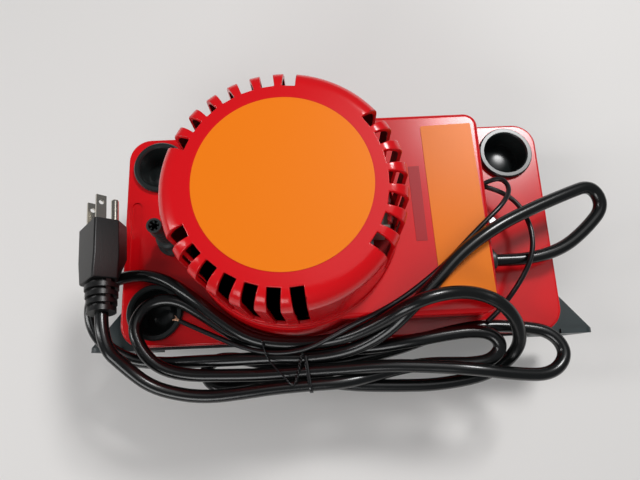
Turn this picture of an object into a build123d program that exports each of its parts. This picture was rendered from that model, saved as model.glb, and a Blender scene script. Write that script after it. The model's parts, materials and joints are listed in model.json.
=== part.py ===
from build123d import *
import os
from math import cos, degrees, pi, radians, sin, sqrt, tan

# Condensate pump: a water tank with a lid that carries a shaded-pole motor under a slotted cover, a
# switch housing beside it, three inlet bungs, a barbed check valve and the tied-up mains lead.
# Millimetres. +Z up, +X from the valve end to the switch end, -Y is the side with the wall ears.
# The origin is the centre of the tank's underside.

os.makedirs("parts", exist_ok=True)

# ---------------------------------------------------------------- driving dimensions
# Lid
lid_length = 280.0
lid_width = 141.5
lid_corner = 15.0
lid_top = 75.0
lid_plate = 3.0
lid_height = 8.5
lid_wall = 2.5
lid_edge_round = 1.6

# Tank
tank_end_inset = 2.0
tank_side_inset = 1.75
tank_length = lid_length - 2 * tank_end_inset
tank_width = lid_width - 2 * tank_side_inset
tank_corner = 13.0
tank_draft = 5.0
tank_wall = 2.4
tank_floor = 2.8
tank_foot_round = 3.0
flange_proud = 1.5
flange_height = 3.5
seal_height = 1.5

# Wall ears on the tank
ear_reach = 21.5
ear_plate = 3.0
ear_low = 26.0
ear_lip = 2.0
ear_gusset_depth = 29.0
ear_slot_inset = 10.5
ear_slot_height = 44.0
ear_slot_length = 10.0
ear_slot_width = 5.2

# Motor axis, cover and pedestal
motor_x = -27.7
motor_y = 0.0
cover_rim_r = 64.0
cover_top_r = 62.0
cover_height = 69.3
cover_round = 10.5
cover_wall = 2.5
cover_band = 8.5
cover_band_proud = 0.7
slot_pitch = 11.7
slots_per_group = 7
slot_group_turns = (0.0, 120.5, 240.9)
slot_width = 6.6
slot_inner_r = 51.0
slot_floor = 12.0
label_r = 44.1
label_thickness = 0.4

pedestal_height = 26.0
pedestal_ledge = 1.4
pedestal_flare = 2.9
pedestal_seat = 6.5
pedestal_rim_r = cover_rim_r + pedestal_ledge
pedestal_foot_r = pedestal_rim_r + pedestal_flare
pedestal_mouth_r = cover_rim_r - pedestal_seat
housing_wall = 2.5

# Deck of the switch housing
deck_right = 93.0
deck_front = -60.0
deck_rear = 68.0
deck_corner = 8.5
deck_edge_round = 3.0
deck_label_x = 73.6
deck_label_y = 4.5
deck_label_width = 32.0
deck_label_length = 111.0
deck_label_turn = 1.8
strip_x = 50.0
strip_y = 8.5
strip_width = 6.8
strip_length = 48.0
strip_thickness = 0.25

# Inlets and their bungs
inlet_hole_r = 16.1
inlet_end_margin = 6.4
inlet_side_margin = 5.45
inlet_x = lid_length / 2 - inlet_end_margin - inlet_hole_r
inlet_y = lid_width / 2 - inlet_side_margin - inlet_hole_r
bung_fit = 0.25
bung_wall = 1.85
bung_lap = 1.7
bung_flange_r = inlet_hole_r + bung_lap
bung_flange_height = 2.6
bung_bead_height = 0.9
bung_body_r = inlet_hole_r - bung_fit
bung_cup_r = bung_body_r - bung_wall
bung_depth = 16.5
bung_floor = 2.2
bung_dome = 3.2

# Lid details
groove_x = -132.6
groove_y = 1.0
groove_length = 48.0
groove_width = 6.6
groove_depth = 0.9
lid_screw_x = 103.0
lid_screw_y = 1.6
screw_r = 1.6
screw_head_r = 3.2
screw_head_height = 2.2

# Motor
stator_gap = 5.0
stator_bottom = lid_top + pedestal_height + stator_gap
stator_stack = 22.0
stator_left = 25.0
stator_right = 46.0
stator_half_width = 28.0
stator_bore_r = 15.4
window_left = 19.0
window_right = 34.0
window_half = 18.4
coil_half_length = 16.0
coil_overhang = 8.0
bobbin_flange = 1.6
stator_bolt_y = 22.0
stator_bolt_r = 2.0
bracket_plate = 1.6
bracket_width = 16.0
bracket_rise = 13.0
hub_r = 9.0
hub_height = 7.0
bearing_r = 7.0
shaft_r = 3.0
shaft_bottom = 11.5
shaft_reach = 53.0
shaft_top = stator_bottom + shaft_reach
running_clearance = 0.05
rotor_r = 14.8
rotor_overhang = 1.5
fan_lift = 42.5
fan_bottom = stator_bottom + fan_lift
fan_height = 9.5
fan_r = 41.0
fan_hub_r = 8.0
fan_blades = 6
fan_blade_thickness = 1.6
standoff_r = 3.8
rear_standoff_x = 40.0

# Pump
bush_r = 10.0
bush_below = 5.0
bush_above = 3.0
column_r = 13.0
column_bore_r = 10.0
column_flange_r = 22.0
column_flange_height = 3.0
volute_bottom = 8.0
volute_top = 24.0
volute_r = 30.0
volute_wall = 2.6
volute_cover_height = 2.5
inlet_eye_r = 8.0
outlet_offset = -16.0
outlet_reach = 36.0
outlet_height = 17.2
outlet_r = 6.5
outlet_bore_r = 4.6
impeller_r = 23.0
impeller_disc = 2.0
impeller_vanes = 6
impeller_vane_height = 6.0
impeller_vane_thickness = 1.6

# Check valve on the discharge tube
valve_x = -107.4
valve_y = -3.0
socket_r = 11.0
socket_bore_r = 8.1
socket_depth = 14.0
valve_stem_r = 8.03
valve_stem_depth = 9.0
valve_flange_r = 9.9
valve_flange_height = 2.2
valve_body_r = 7.8
valve_body_height = 12.8
valve_bore_r = 5.6
valve_seat_r = 3.2
valve_wing_reach = 10.5
valve_wing_width = 4.2
valve_wing_height = 6.0
barb_root_r = 4.1
barb_tip_r = 5.2
barb_count = 4
barb_pitch = 4.2
nose_r = 4.5
nose_length = 5.0
nose_bore_r = 3.3
nose_rib = 0.9
ball_r = 4.4

# Float and switches
float_x = 66.0
float_y = 0.0
float_length = 46.0
float_width = 60.0
float_height = 30.0
float_bottom = 12.0
float_round = 5.0
float_travel = 0.014
rod_r = 2.5
rod_clearance = 0.08
guide_r = 6.5
guide_height = 2.7
collar_r = 5.5
collar_height = 1.0
collar_gap = 4.4
lever_arm = 42.0
lever_width = 8.0
lever_thickness = 2.4
lever_fork_thickness = 1.8
lever_hub_r = 2.9
lever_toe = 9.0
lever_toe_width = 13.2
pin_r = 1.5
switch_bracket_length = 22.0
switch_bracket_gap = 15.0
switch_bracket_plate = 1.5
switch_width = 6.3
switch_length = 19.0
switch_height = 7.9
plunger_r = 1.2
plunger_offset = 5.4
terminal_x = 70.0
terminal_y = -38.0
terminal_length = 24.0
terminal_width = 12.0
terminal_height = 10.0

# ---------------------------------------------------------------- derived places
lid_bottom = lid_top - lid_height
lid_underside = lid_top - lid_plate
flange_top = lid_bottom - seal_height
flange_bottom = flange_top - flange_height
flange_length = lid_length + 2 * flange_proud
flange_width = lid_width + 2 * flange_proud
flange_corner = lid_corner + flange_proud
housing_top = lid_top + pedestal_height
cover_top = housing_top + cover_height
ear_face = flange_width / 2
ear_tip = lid_length / 2 + ear_reach
ear_slot_x = ear_tip - ear_slot_inset
water_length = tank_length - 2 * tank_wall
water_width = tank_width - 2 * tank_wall
water_corner = tank_corner - 2
stator_top = stator_bottom + stator_stack
float_rest = lid_top + guide_height
lever_pivot_x = float_x - lever_arm
lever_pivot_height = float_rest + collar_height + collar_gap / 2 + float_travel * 500
rod_top = float_rest + 2 * collar_height + collar_gap
lever_drop = degrees(float_travel * 500 / lever_arm)
inlets = {
    "front_left": (-inlet_x, -inlet_y),
    "rear_left": (-inlet_x, inlet_y),
    "rear_right": (inlet_x, inlet_y),
}

# ================================================================ tank
with BuildPart() as tank:
    with BuildSketch(Plane.XY):
        RectangleRounded(tank_length - 2 * tank_draft, tank_width - 2 * tank_draft, tank_corner)
    with BuildSketch(Plane.XY.offset(flange_bottom)):
        RectangleRounded(tank_length, tank_width, tank_corner)
    loft()
    fillet(tank.faces().sort_by(Axis.Z)[0].edges(), tank_foot_round)
    # the rim flange that the lid's seal lies on
    with BuildSketch(Plane.XY.offset(flange_bottom)):
        RectangleRounded(flange_length, flange_width, flange_corner)
    extrude(amount=flange_height)
    # ears: an upright plate flush with the rim, with a gusset under its raised lip
    with BuildSketch(Plane.XZ.offset(ear_face)):
        with Locations((0, (ear_low + flange_top + ear_lip) / 2)):
            RectangleRounded(2 * ear_tip, flange_top + ear_lip - ear_low, 4.0)
        with Locations((0, (ear_low + flange_top + ear_lip) / 2)):
            Rectangle(tank_length - 24, 2 * flange_top, mode=Mode.SUBTRACT)
        with Locations((0, flange_top + ear_lip)):
            Rectangle(lid_length + 3, 2 * ear_lip, mode=Mode.SUBTRACT)
    extrude(amount=-ear_plate)
    with BuildSketch(Plane.XY.offset(flange_bottom)):
        with BuildLine():
            Polyline(
                (-ear_tip, -ear_face),
                (ear_tip, -ear_face),
                (ear_tip, -ear_face + ear_plate),
                (lid_length / 2, -ear_face + ear_gusset_depth),
                (-lid_length / 2, -ear_face + ear_gusset_depth),
                (-ear_tip, -ear_face + ear_plate),
                close=True,
            )
        make_face()
    extrude(amount=flange_height)
    with BuildSketch(Plane.XZ.offset(ear_face)):
        with Locations((-ear_slot_x, ear_slot_height), (ear_slot_x, ear_slot_height)):
            SlotOverall(ear_slot_length, ear_slot_width)
    extrude(amount=-ear_plate, mode=Mode.SUBTRACT)
    # the water space
    with BuildSketch(Plane.XY.offset(tank_floor)):
        RectangleRounded(water_length - 2 * tank_draft, water_width - 2 * tank_draft, water_corner)
    with BuildSketch(Plane.XY.offset(flange_top)):
        RectangleRounded(water_length, water_width, water_corner)
    loft(mode=Mode.SUBTRACT)
tank.part.label = "tank"
export_step(tank.part, "parts/tank.step")

# ================================================================ lid
with BuildPart() as lid_seal:
    with BuildSketch(Plane.XY.offset(flange_top)):
        RectangleRounded(lid_length - 0.6, lid_width - 0.6, lid_corner - 0.3)
        RectangleRounded(water_length, water_width, water_corner, mode=Mode.SUBTRACT)
    extrude(amount=seal_height)
lid_seal.part.label = "lid_seal"
export_step(lid_seal.part, "parts/lid_seal.step")

with BuildPart() as lid:
    with BuildSketch(Plane.XY.offset(lid_bottom)):
        RectangleRounded(lid_length, lid_width, lid_corner)
    extrude(amount=lid_height)
    fillet(lid.faces().sort_by(Axis.Z)[-1].edges(), lid_edge_round)
    with BuildSketch(Plane.XY.offset(lid_bottom)):
        RectangleRounded(lid_length - 2 * lid_wall, lid_width - 2 * lid_wall, lid_corner - lid_wall)
    extrude(amount=lid_height - lid_plate, mode=Mode.SUBTRACT)
    # the valve's socket under the plate, the float rod's guide over it
    with BuildSketch(Plane.XY.offset(lid_underside)):
        with Locations((valve_x, valve_y)):
            Circle(socket_r)
    extrude(amount=-socket_depth)
    with BuildSketch(Plane.XY.offset(lid_top)):
        with Locations((float_x, float_y)):
            Circle(guide_r)
    extrude(amount=guide_height)
    # holes for the bungs, valve, shaft bush, float rod and screw
    with BuildSketch(Plane.XY.offset(lid_top + guide_height)):
        with Locations(*inlets.values()):
            Circle(inlet_hole_r)
        with Locations((valve_x, valve_y)):
            Circle(socket_bore_r)
        with Locations((motor_x, motor_y)):
            Circle(bush_r)
        with Locations((float_x, float_y)):
            Circle(rod_r + rod_clearance)
        with Locations((lid_screw_x, lid_screw_y)):
            Circle(screw_r)
    extrude(amount=-guide_height - lid_plate - socket_depth, mode=Mode.SUBTRACT)
    # the shallow groove beside the left edge
    with BuildSketch(Plane.XY.offset(lid_top)):
        with Locations((groove_x, groove_y)):
            SlotOverall(groove_length, groove_width, rotation=90)
    extrude(amount=-groove_depth, mode=Mode.SUBTRACT)
lid.part.label = "lid"
export_step(lid.part, "parts/lid.step")

with BuildPart() as lid_screw:
    with BuildSketch(Plane.XY.offset(lid_top)):
        with Locations((lid_screw_x, lid_screw_y)):
            Circle(screw_head_r)
    extrude(amount=screw_head_height)
    fillet(lid_screw.faces().sort_by(Axis.Z)[-1].edges(), screw_head_height / 2)
    with BuildSketch(Plane.XY.offset(lid_top)):
        with Locations((lid_screw_x, lid_screw_y)):
            Circle(screw_r)
    extrude(amount=-lid_plate - 3)
lid_screw.part.label = "lid_screw"
export_step(lid_screw.part, "parts/lid_screw.step")

# ================================================================ switch housing
cord_exit_y = -27.0
cord_exit_lift = 13.5
cord_exit_height = lid_top + cord_exit_lift
wire_exit_y = 23.0
wire_exit_lift = 13.0
wire_exit_height = lid_top + wire_exit_lift
cord_bush_r = 6.4
wire_bush_r = 5.0
relief_collar = 2.2
relief_reach = 7.2
grommet_reach = 1.8

# Lead, plug and wires
cord_diameter = 7.8
wire_diameter = 3.0
wire_split = 1.7
wire_gap = 0.75
copper_r = 0.8
copper_length = 5.0
plug_face_center = (-147.4, 4.1, 92.1)
plug_yaw = 7.0
plug_droop = 9.3
plug_roll = 47.1
plug_body_length = 38.0
plug_parallel_length = 22.0
plug_base_half = 12.0
plug_base_offset = 10.0
plug_wide_half = 13.5
plug_wide_offset = 3.0
plug_nose_half = 6.5
plug_nose_offset = 13.0
plug_corner = 1.5
plug_tail_shrink = 0.62
plug_relief_length = 18.5
plug_relief_r = 7.6
plug_relief_end_r = 5.6
plug_ring_count = 4
plug_ring_width = 2.8
plug_ring_proud = 2.2
plug_blade_offset = 4.0
plug_ground_offset = 7.9
blade_pitch = 12.7
blade_width = 6.35
blade_thickness = 1.5
blade_length = 18.5
blade_hole_r = 1.6
blade_hole_inset = 5.0
ground_pin_r = 2.4
ground_pin_length = 21.5

# Twist tie round the bundled lead
tie_x = -23.0
tie_width = 3.0
tie_thickness = 0.8
tie_clearance = 0.45
tie_tail_r = 0.9

with BuildPart() as switch_housing:
    # the deck
    with BuildSketch(Plane.XY.offset(lid_top)):
        with Locations(((motor_x + deck_right) / 2, (deck_front + deck_rear) / 2)):
            RectangleRounded(deck_right - motor_x, deck_rear - deck_front, deck_corner)
    extrude(amount=pedestal_height)
    fillet(switch_housing.faces().sort_by(Axis.Z)[-1].edges(), deck_edge_round)
    # the round pedestal, which widens towards the lid
    with BuildSketch(Plane.XY.offset(lid_top)):
        with Locations((motor_x, motor_y)):
            Circle(pedestal_foot_r)
    with BuildSketch(Plane.XY.offset(housing_top)):
        with Locations((motor_x, motor_y)):
            Circle(pedestal_rim_r)
    loft()
    # hollow inside, open towards the lid
    with BuildSketch(Plane.XY.offset(lid_top)):
        with Locations(((motor_x + deck_right) / 2 - housing_wall, (deck_front + deck_rear) / 2)):
            RectangleRounded(
                deck_right - motor_x, deck_rear - deck_front - 2 * housing_wall, deck_corner - housing_wall
            )
        with Locations((motor_x, motor_y)):
            Circle(pedestal_rim_r - housing_wall)
    extrude(amount=pedestal_height - housing_wall, mode=Mode.SUBTRACT)
    # the mouth under the motor
    with BuildSketch(Plane.XY.offset(housing_top)):
        with Locations((motor_x, motor_y)):
            Circle(pedestal_mouth_r)
    extrude(amount=-housing_wall, mode=Mode.SUBTRACT)
    # cord and wire holes in the right wall
    with BuildSketch(Plane.YZ.offset(deck_right)):
        with Locations((cord_exit_y, cord_exit_height)):
            Circle(cord_bush_r)
        with Locations((wire_exit_y, wire_exit_height)):
            Circle(wire_bush_r)
    extrude(amount=-housing_wall, mode=Mode.SUBTRACT)
switch_housing.part.label = "switch_housing"
export_step(switch_housing.part, "parts/switch_housing.step")

with BuildPart() as deck_label:
    with BuildSketch(Plane.XY.offset(housing_top)):
        with Locations(Location((deck_label_x, deck_label_y, 0), (0, 0, deck_label_turn))):
            RectangleRounded(deck_label_width, deck_label_length, 1.0)
    extrude(amount=label_thickness)
deck_label.part.label = "deck_label"
export_step(deck_label.part, "parts/deck_label.step")

with BuildPart() as data_strip:
    with BuildSketch(Plane.XY.offset(housing_top)):
        with Locations(Location((strip_x, strip_y, 0), (0, 0, 1.5))):
            Rectangle(strip_width, strip_length)
    extrude(amount=strip_thickness)
data_strip.part.label = "data_strip"
export_step(data_strip.part, "parts/data_strip.step")

# ================================================================ motor cover
motor_axis = Location((motor_x, motor_y, 0))


def cover_profile(inset):
    """Half outline of the cover, moved inwards by the inset."""
    foot = (cover_rim_r - inset, housing_top)
    shoulder = (cover_top_r - inset, cover_top - cover_round)
    crown = (cover_top_r - cover_round, cover_top - inset)
    with BuildSketch(Plane.XZ) as profile:
        with BuildLine():
            Line((0, housing_top), foot)
            Line(foot, shoulder)
            RadiusArc(shoulder, crown, -(cover_round - inset))
            Line(crown, (0, cover_top - inset))
            Line((0, cover_top - inset), (0, housing_top))
        make_face()
    return profile.sketch.moved(motor_axis)


with BuildPart() as motor_cover:
    revolve(cover_profile(0), axis=Axis((motor_x, motor_y, 0), (0, 0, 1)))
    # the plain band round the foot
    with BuildSketch(Plane.XY.offset(housing_top)):
        with Locations((motor_x, motor_y)):
            Circle(cover_rim_r + cover_band_proud)
    extrude(amount=cover_band)
    fillet(motor_cover.edges().filter_by(GeomType.CIRCLE).group_by(Axis.Z)[1].sort_by(SortBy.RADIUS)[-1], 0.5)
    revolve(cover_profile(cover_wall), axis=Axis((motor_x, motor_y, 0), (0, 0, 1)), mode=Mode.SUBTRACT)
    # the slots run from the top, round the corner and down the wall
    slot_reach = cover_rim_r + 4 - slot_inner_r
    with BuildSketch(Plane.XY.offset(housing_top + slot_floor)):
        for group_turn in slot_group_turns:
            for place in range(slots_per_group):
                turn = radians(group_turn + (place - (slots_per_group - 1) / 2) * slot_pitch)
                middle = slot_inner_r + slot_reach / 2
                with Locations(
                    Location(
                        (motor_x + middle * cos(turn), motor_y + middle * sin(turn), 0), (0, 0, degrees(turn))
                    )
                ):
                    Rectangle(slot_reach, slot_width)
    extrude(amount=cover_height, mode=Mode.SUBTRACT)
motor_cover.part.label = "motor_cover"
export_step(motor_cover.part, "parts/motor_cover.step")

with BuildPart() as motor_label:
    with BuildSketch(Plane.XY.offset(cover_top)):
        with Locations((motor_x, motor_y)):
            Circle(label_r)
    extrude(amount=label_thickness)
motor_label.part.label = "motor_label"
export_step(motor_label.part, "parts/motor_label.step")

# ================================================================ inlet bungs
for place, (x, y) in inlets.items():
    with BuildPart() as inlet_bung:
        with BuildSketch(Plane.XZ):
            with BuildLine():
                bead = lid_top + bung_flange_height + bung_bead_height
                floor = lid_top - bung_depth
                Polyline(
                    (0, floor),
                    (bung_body_r - 1.5, floor),
                    (bung_body_r, floor + 4),
                    (bung_body_r, lid_top),
                    (bung_flange_r, lid_top),
                    (bung_flange_r, lid_top + bung_flange_height),
                )
                Line((bung_flange_r, lid_top + bung_flange_height), (bung_flange_r - 0.8, bead))
                Polyline((bung_flange_r - 0.8, bead), (bung_cup_r + 0.8, bead), (bung_cup_r, bead - 1.0))
                Line((bung_cup_r, bead - 1.0), (bung_cup_r - 1.0, floor + bung_floor))
                # the floor of the cup rises to a low dome
                Spline(
                    (bung_cup_r - 1.0, floor + bung_floor),
                    (bung_cup_r / 2, floor + bung_floor + 0.75 * bung_dome),
                    (0, floor + bung_floor + bung_dome),
                    tangents=[(-1, 0.25), (-1, 0)],
                )
                Line((0, floor + bung_floor + bung_dome), (0, floor))
            make_face()
        revolve(axis=Axis.Z)
    placed = inlet_bung.part.moved(Location((x, y, 0)))
    placed.label = f"inlet_bung_{place}"
    export_step(placed, f"parts/inlet_bung_{place}.step")

# ================================================================ motor
with BuildPart() as stator_core:
    with BuildSketch(Plane.XY.offset(stator_bottom)):
        with Locations((motor_x + (stator_right - stator_left) / 2, motor_y)):
            RectangleRounded(stator_left + stator_right, 2 * stator_half_width, 4)
        with Locations((motor_x, motor_y)):
            Circle(stator_bore_r, mode=Mode.SUBTRACT)
        with Locations((motor_x + (window_left + window_right) / 2, motor_y)):
            RectangleRounded(window_right - window_left, 2 * window_half, 2, mode=Mode.SUBTRACT)
        with Locations((motor_x, motor_y - stator_bolt_y), (motor_x, motor_y + stator_bolt_y)):
            Circle(stator_bolt_r, mode=Mode.SUBTRACT)
    extrude(amount=stator_stack)
stator_core.part.label = "stator_core"
export_step(stator_core.part, "parts/stator_core.step")

limb_middle = motor_x + (window_right + stator_right) / 2
limb_width = stator_right - window_right
with BuildPart() as stator_coil:
    with Locations((limb_middle, motor_y, stator_bottom + stator_stack / 2)):
        Box(
            limb_width + 2 * coil_overhang,
            2 * (coil_half_length - bobbin_flange),
            stator_stack + 2 * coil_overhang,
        )
    fillet(stator_coil.edges().filter_by(Axis.Y), 4)
    with Locations((limb_middle, motor_y, stator_bottom + stator_stack / 2)):
        Box(limb_width + 3, 2 * coil_half_length, stator_stack + 3, mode=Mode.SUBTRACT)
stator_coil.part.label = "stator_coil"
export_step(stator_coil.part, "parts/stator_coil.step")

with BuildPart() as coil_bobbin:
    with Locations((limb_middle, motor_y, stator_bottom + stator_stack / 2)):
        Box(limb_width + 3, 2 * coil_half_length, stator_stack + 3)
    with Locations(
        (limb_middle, motor_y - coil_half_length + bobbin_flange / 2, stator_bottom + stator_stack / 2),
        (limb_middle, motor_y + coil_half_length - bobbin_flange / 2, stator_bottom + stator_stack / 2),
    ):
        Box(limb_width + 2 * coil_overhang + 1, bobbin_flange, stator_stack + 2 * coil_overhang + 1)
    with Locations((limb_middle, motor_y, stator_bottom + stator_stack / 2)):
        Box(limb_width, 2 * coil_half_length, stator_stack, mode=Mode.SUBTRACT)
coil_bobbin.part.label = "coil_bobbin"
export_step(coil_bobbin.part, "parts/coil_bobbin.step")


def bridge_outline(foot, rise):
    """Side outline of a bridge over the rotor, standing on the stator at the foot height; rise is signed."""
    top = foot + rise
    sheet = bracket_plate if rise > 0 else -bracket_plate
    outer = stator_bolt_y + 5
    waist = stator_bolt_y - 5
    with BuildSketch(Plane.YZ.offset(motor_x - bracket_width / 2)) as outline:
        with BuildLine():
            Polyline(
                (-outer, foot),
                (-waist, foot),
                (-waist + 6, top - sheet),
                (waist - 6, top - sheet),
                (waist, foot),
                (outer, foot),
                (outer, foot + sheet),
                (waist + 1, foot + sheet),
                (waist - 5, top),
                (-waist + 5, top),
                (-waist - 1, foot + sheet),
                (-outer, foot + sheet),
                close=True,
            )
        make_face()
    return outline.sketch


upper_hub = stator_top + bracket_rise - bracket_plate
lower_hub = stator_bottom - bracket_rise + bracket_plate - hub_height
for place, foot, rise, hub in (
    ("upper", stator_top, bracket_rise, upper_hub),
    ("lower", stator_bottom, -bracket_rise, lower_hub),
):
    with BuildPart() as bracket:
        extrude(bridge_outline(foot, rise), amount=bracket_width)
        with BuildSketch(Plane.XY.offset(foot - bracket_plate)):
            with Locations((motor_x, -stator_bolt_y), (motor_x, stator_bolt_y)):
                Circle(stator_bolt_r)
        extrude(amount=2 * bracket_plate, mode=Mode.SUBTRACT)
        with BuildSketch(Plane.XY.offset(hub)):
            with Locations((motor_x, motor_y)):
                Circle(hub_r)
        extrude(amount=hub_height)
        with BuildSketch(Plane.XY.offset(hub)):
            with Locations((motor_x, motor_y)):
                Circle(bearing_r)
        extrude(amount=hub_height, mode=Mode.SUBTRACT)
    bracket.part.label = f"{place}_bearing_bracket"
    export_step(bracket.part, f"parts/{place}_bearing_bracket.step")

    with BuildPart() as bearing:
        with BuildSketch(Plane.XY.offset(hub)):
            with Locations((motor_x, motor_y)):
                Circle(bearing_r)
                Circle(shaft_r + running_clearance, mode=Mode.SUBTRACT)
        extrude(amount=hub_height)
    bearing.part.label = f"{place}_bearing"
    export_step(bearing.part, f"parts/{place}_bearing.step")

with BuildPart() as motor_screws:
    for side in (-1, 1):
        with BuildSketch(Plane.XY.offset(stator_bottom - bracket_plate)):
            with Locations((motor_x, side * stator_bolt_y)):
                Circle(stator_bolt_r)
        extrude(amount=stator_stack + 2 * bracket_plate)
        with BuildSketch(Plane.XY.offset(stator_top + bracket_plate)):
            with Locations((motor_x, side * stator_bolt_y)):
                RegularPolygon(3.6, 6)
        extrude(amount=2.6)
motor_screws.part.label = "motor_screws"
export_step(motor_screws.part, "parts/motor_screws.step")

with BuildPart() as motor_standoffs:
    with BuildSketch(Plane.XY.offset(lid_top)):
        with Locations((motor_x, -stator_bolt_y), (motor_x, stator_bolt_y)):
            Circle(standoff_r)
    extrude(amount=stator_bottom - bracket_plate - lid_top)
    with BuildSketch(Plane.XY.offset(lid_top)):
        with Locations(
            (motor_x + rear_standoff_x, -stator_bolt_y), (motor_x + rear_standoff_x, stator_bolt_y)
        ):
            Circle(standoff_r)
    extrude(amount=stator_bottom - lid_top)
motor_standoffs.part.label = "motor_standoffs"
export_step(motor_standoffs.part, "parts/motor_standoffs.step")

with BuildPart() as rotor_core:
    with BuildSketch(Plane.XY.offset(stator_bottom - rotor_overhang)):
        with Locations((motor_x, motor_y)):
            Circle(rotor_r)
            Circle(shaft_r, mode=Mode.SUBTRACT)
    extrude(amount=stator_stack + 2 * rotor_overhang)
rotor_core.part.label = "rotor_core"
export_step(rotor_core.part, "parts/rotor_core.step")

with BuildPart() as motor_shaft:
    with BuildSketch(Plane.XY.offset(shaft_bottom)):
        with Locations((motor_x, motor_y)):
            Circle(shaft_r)
    extrude(amount=shaft_top - shaft_bottom)
motor_shaft.part.label = "motor_shaft"
export_step(motor_shaft.part, "parts/motor_shaft.step")

with BuildPart() as cooling_fan:
    with BuildSketch(Plane.XY.offset(fan_bottom)):
        with Locations((motor_x, motor_y)):
            Circle(fan_hub_r)
    extrude(amount=fan_height)
    for blade in range(fan_blades):
        turn = blade * 360 / fan_blades
        root = Plane(origin=(motor_x, motor_y, fan_bottom), x_dir=(cos(radians(turn)), sin(radians(turn)), 0))
        with BuildSketch(root):
            with BuildLine():
                outer = fan_r * 0.97
                swept = CenterArc((outer / 2, -fan_r * 0.55), outer * 0.8, 48, 84)
                offset(swept, amount=fan_blade_thickness / 2)
            make_face()
        extrude(amount=fan_height - 1)
    with BuildSketch(Plane.XY.offset(fan_bottom)):
        with Locations((motor_x, motor_y)):
            Circle(fan_r * 0.78)
            Circle(fan_r * 0.78 - 1.6, mode=Mode.SUBTRACT)
    extrude(amount=2)
    with BuildSketch(Plane.XY.offset(fan_bottom)):
        with Locations((motor_x, motor_y)):
            Circle(shaft_r)
    extrude(amount=fan_height, mode=Mode.SUBTRACT)
cooling_fan.part.label = "cooling_fan"
export_step(cooling_fan.part, "parts/cooling_fan.step")

# ================================================================ pump
with BuildPart() as shaft_bush:
    with BuildSketch(Plane.XY.offset(lid_underside - bush_below)):
        with Locations((motor_x, motor_y)):
            Circle(column_bore_r)
    extrude(amount=bush_below + lid_plate + bush_above)
    with BuildSketch(Plane.XY.offset(lid_top)):
        with Locations((motor_x, motor_y)):
            Circle(bush_r + 3)
    extrude(amount=bush_above / 2)
    with BuildSketch(Plane.XY.offset(lid_underside - bush_below)):
        with Locations((motor_x, motor_y)):
            Circle(shaft_r + running_clearance)
    extrude(amount=bush_below + lid_plate + bush_above, mode=Mode.SUBTRACT)
shaft_bush.part.label = "shaft_bush"
export_step(shaft_bush.part, "parts/shaft_bush.step")

with BuildPart() as pump_column:
    with BuildSketch(Plane.XY.offset(volute_top)):
        with Locations((motor_x, motor_y)):
            Circle(column_r)
    extrude(amount=lid_underside - volute_top)
    with BuildSketch(Plane.XY.offset(lid_underside - column_flange_height)):
        with Locations((motor_x, motor_y)):
            Circle(column_flange_r)
    extrude(amount=column_flange_height)
    # four webs stiffen the flange
    with BuildSketch(Plane.XZ.offset(-motor_y)):
        with Locations((motor_x, 0)):
            with BuildLine():
                Polyline(
                    (-column_flange_r + 2, lid_underside - column_flange_height),
                    (column_flange_r - 2, lid_underside - column_flange_height),
                    (column_r - 1, lid_underside - 4 * column_flange_height),
                    (-column_r + 1, lid_underside - 4 * column_flange_height),
                    close=True,
                )
            make_face()
    extrude(amount=1, both=True)
    with BuildSketch(Plane.XY.offset(volute_top)):
        with Locations((motor_x, motor_y)):
            Circle(column_bore_r)
    extrude(amount=lid_underside - volute_top, mode=Mode.SUBTRACT)
    # drain windows above the water line
    with BuildSketch(Plane.XZ):
        with Locations((motor_x, lid_underside - 22)):
            SlotOverall(12, 6, rotation=90)
    extrude(amount=2 * column_r, both=True, mode=Mode.SUBTRACT)
pump_column.part.label = "pump_column"
export_step(pump_column.part, "parts/pump_column.step")

with BuildPart() as volute:
    with BuildSketch(Plane.XY.offset(volute_bottom + volute_cover_height)):
        with Locations((motor_x, motor_y)):
            Circle(volute_r)
    extrude(amount=volute_top - volute_bottom - volute_cover_height)
    with BuildSketch(Plane.YZ.offset(motor_x)):
        with Locations((motor_y + outlet_offset, outlet_height)):
            Circle(outlet_r)
    extrude(amount=-outlet_reach)
    with BuildSketch(Plane.XY.offset(volute_bottom + volute_cover_height)):
        with Locations((motor_x, motor_y)):
            Circle(volute_r - volute_wall)
    extrude(amount=volute_top - volute_bottom - volute_cover_height - volute_wall, mode=Mode.SUBTRACT)
    with BuildSketch(Plane.YZ.offset(motor_x)):
        with Locations((motor_y + outlet_offset, outlet_height)):
            Circle(outlet_bore_r)
    extrude(amount=-outlet_reach, mode=Mode.SUBTRACT)
    with BuildSketch(Plane.XY.offset(volute_top)):
        with Locations((motor_x, motor_y)):
            Circle(column_bore_r)
    extrude(amount=-volute_wall, mode=Mode.SUBTRACT)
volute.part.label = "volute"
export_step(volute.part, "parts/volute.step")

with BuildPart() as volute_cover:
    with BuildSketch(Plane.XY.offset(volute_bottom)):
        with Locations((motor_x, motor_y)):
            Circle(volute_r)
            Circle(inlet_eye_r, mode=Mode.SUBTRACT)
    extrude(amount=volute_cover_height)
volute_cover.part.label = "volute_cover"
export_step(volute_cover.part, "parts/volute_cover.step")

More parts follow.
